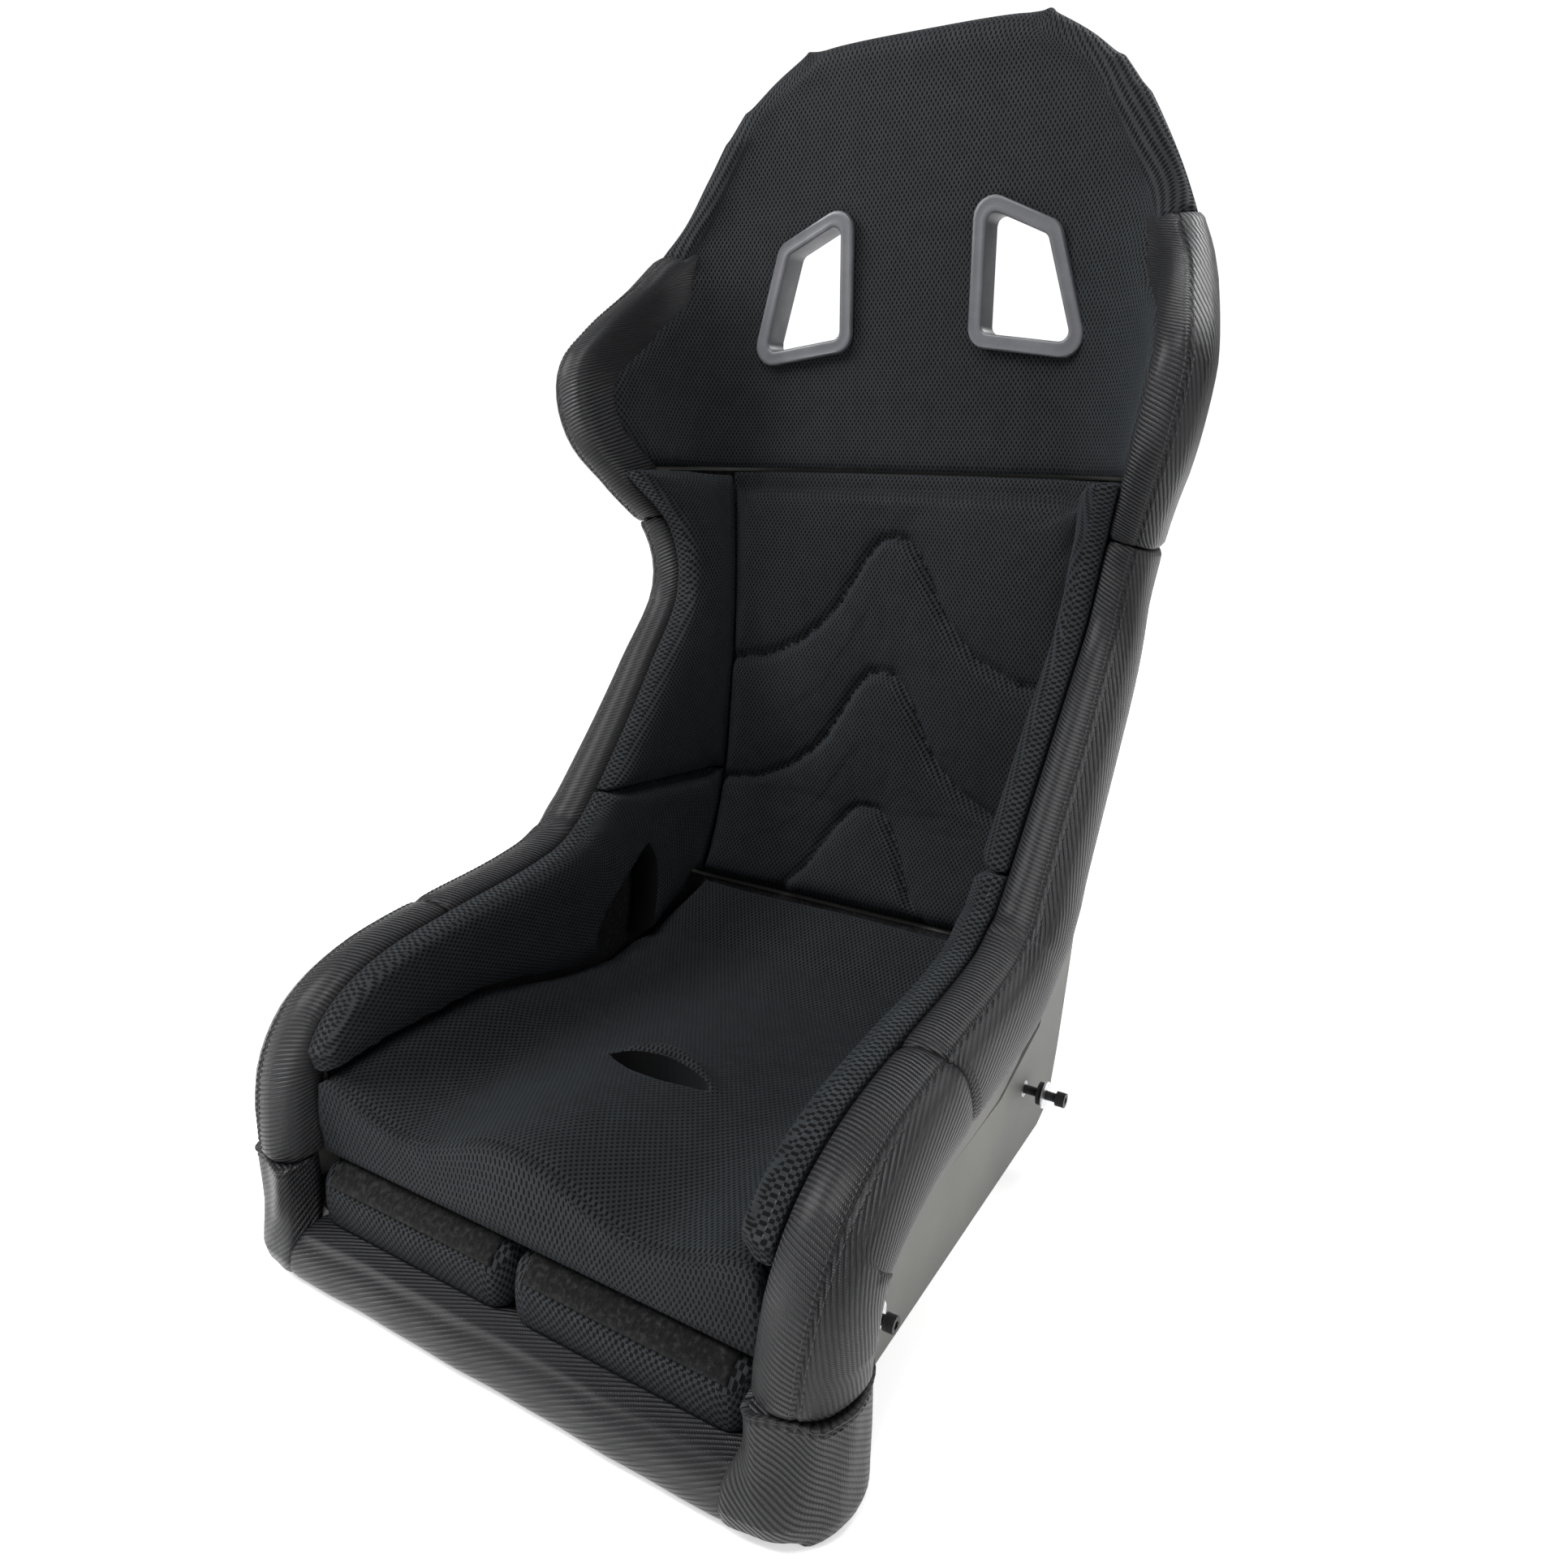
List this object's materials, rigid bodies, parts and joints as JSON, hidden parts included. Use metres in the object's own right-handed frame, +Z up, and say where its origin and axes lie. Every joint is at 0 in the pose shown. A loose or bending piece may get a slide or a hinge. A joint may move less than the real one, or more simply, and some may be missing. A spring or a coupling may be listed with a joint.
{
  "type": "racing seat",
  "caption": "Fixed-back racing bucket seat with a moulded shell, removable mesh cushions, padded edge rolls, harness and lap-strap slots, and side mounting points.",
  "frame": {"origin": "on the floor under the middle of the seat's bounding box", "axes": "+X to the driver's left, -Y forwards, the way the driver faces, +Z up; the seat is mirrored about X = 0"},
  "size_m": [0.61, 0.6523, 0.9595],
  "materials": {
    "gelcoat": "matt mid-grey gelcoat on glass-fibre laminate",
    "lining": "black brushed loop lining",
    "carbon_vinyl": "satin dark-grey coated fabric with an embossed twill rib",
    "mesh_cloth": "black open spacer mesh over foam",
    "bezel_plastic": "satin dark-grey moulded plastic",
    "loop_cloth": "black fuzzy loop cloth",
    "hook_tape": "black hook tape",
    "insert_steel": "plain turned steel",
    "black_oxide": "black oxide on steel",
    "zinc_plate": "bright zinc plate",
    "rubber_washer": "matt black rubber"
  },
  "bodies": {
    "seat": {"seat_shell": "gelcoat", "back_cushion": "mesh_cloth", "back_lining": "lining", "corner_roll_left": "carbon_vinyl", "corner_roll_right": "carbon_vinyl", "crotch_bezel": "bezel_plastic", "front_roll": "carbon_vinyl", "front_screw_left": "black_oxide", "front_screw_right": "black_oxide", "front_washer_left": "zinc_plate", "front_washer_right": "zinc_plate", "harness_bezel_left": "bezel_plastic", "harness_bezel_rear_left": "bezel_plastic", "harness_bezel_rear_right": "bezel_plastic", "harness_bezel_right": "bezel_plastic", "head_cover": "mesh_cloth", "head_rim_cover": "mesh_cloth", "hip_pad_left": "mesh_cloth", "hip_pad_right": "mesh_cloth", "lap_bezel_left": "bezel_plastic", "lap_bezel_right": "bezel_plastic", "pan_hook_strip_left": "hook_tape", "pan_hook_strip_right": "hook_tape", "pan_lining": "lining", "rear_rubber_washer_left": "rubber_washer", "rear_rubber_washer_right": "rubber_washer", "rear_screw_left": "black_oxide", "rear_screw_right": "black_oxide", "rear_washer_left": "zinc_plate", "rear_washer_right": "zinc_plate", "seat_cushion": "mesh_cloth", "shoulder_roll_left": "carbon_vinyl", "shoulder_roll_right": "carbon_vinyl", "side_lining_left": "lining", "side_lining_right": "lining", "thigh_roll_left": "carbon_vinyl", "thigh_roll_right": "carbon_vinyl", "threaded_insert_front_left": "insert_steel", "threaded_insert_front_right": "insert_steel", "threaded_insert_rear_left": "insert_steel", "threaded_insert_rear_right": "insert_steel", "torso_pad_left": "mesh_cloth", "torso_pad_right": "mesh_cloth", "torso_roll_left": "carbon_vinyl", "torso_roll_right": "carbon_vinyl"},
    "thigh_pad_left_body": {"thigh_pad_left": "mesh_cloth", "thigh_loop_left": "loop_cloth"},
    "thigh_pad_right_body": {"thigh_pad_right": "mesh_cloth", "thigh_loop_right": "loop_cloth"}
  },
  "joints": [
    {"name": "thigh_pad_left_pull", "type": "slide", "parent": "seat", "child": "thigh_pad_left_body", "axis": [0, -1, 0], "range_m": [0, 0.12]},
    {"name": "thigh_pad_right_pull", "type": "slide", "parent": "seat", "child": "thigh_pad_right_body", "axis": [0, -1, 0], "range_m": [0, 0.12]}
  ]
}
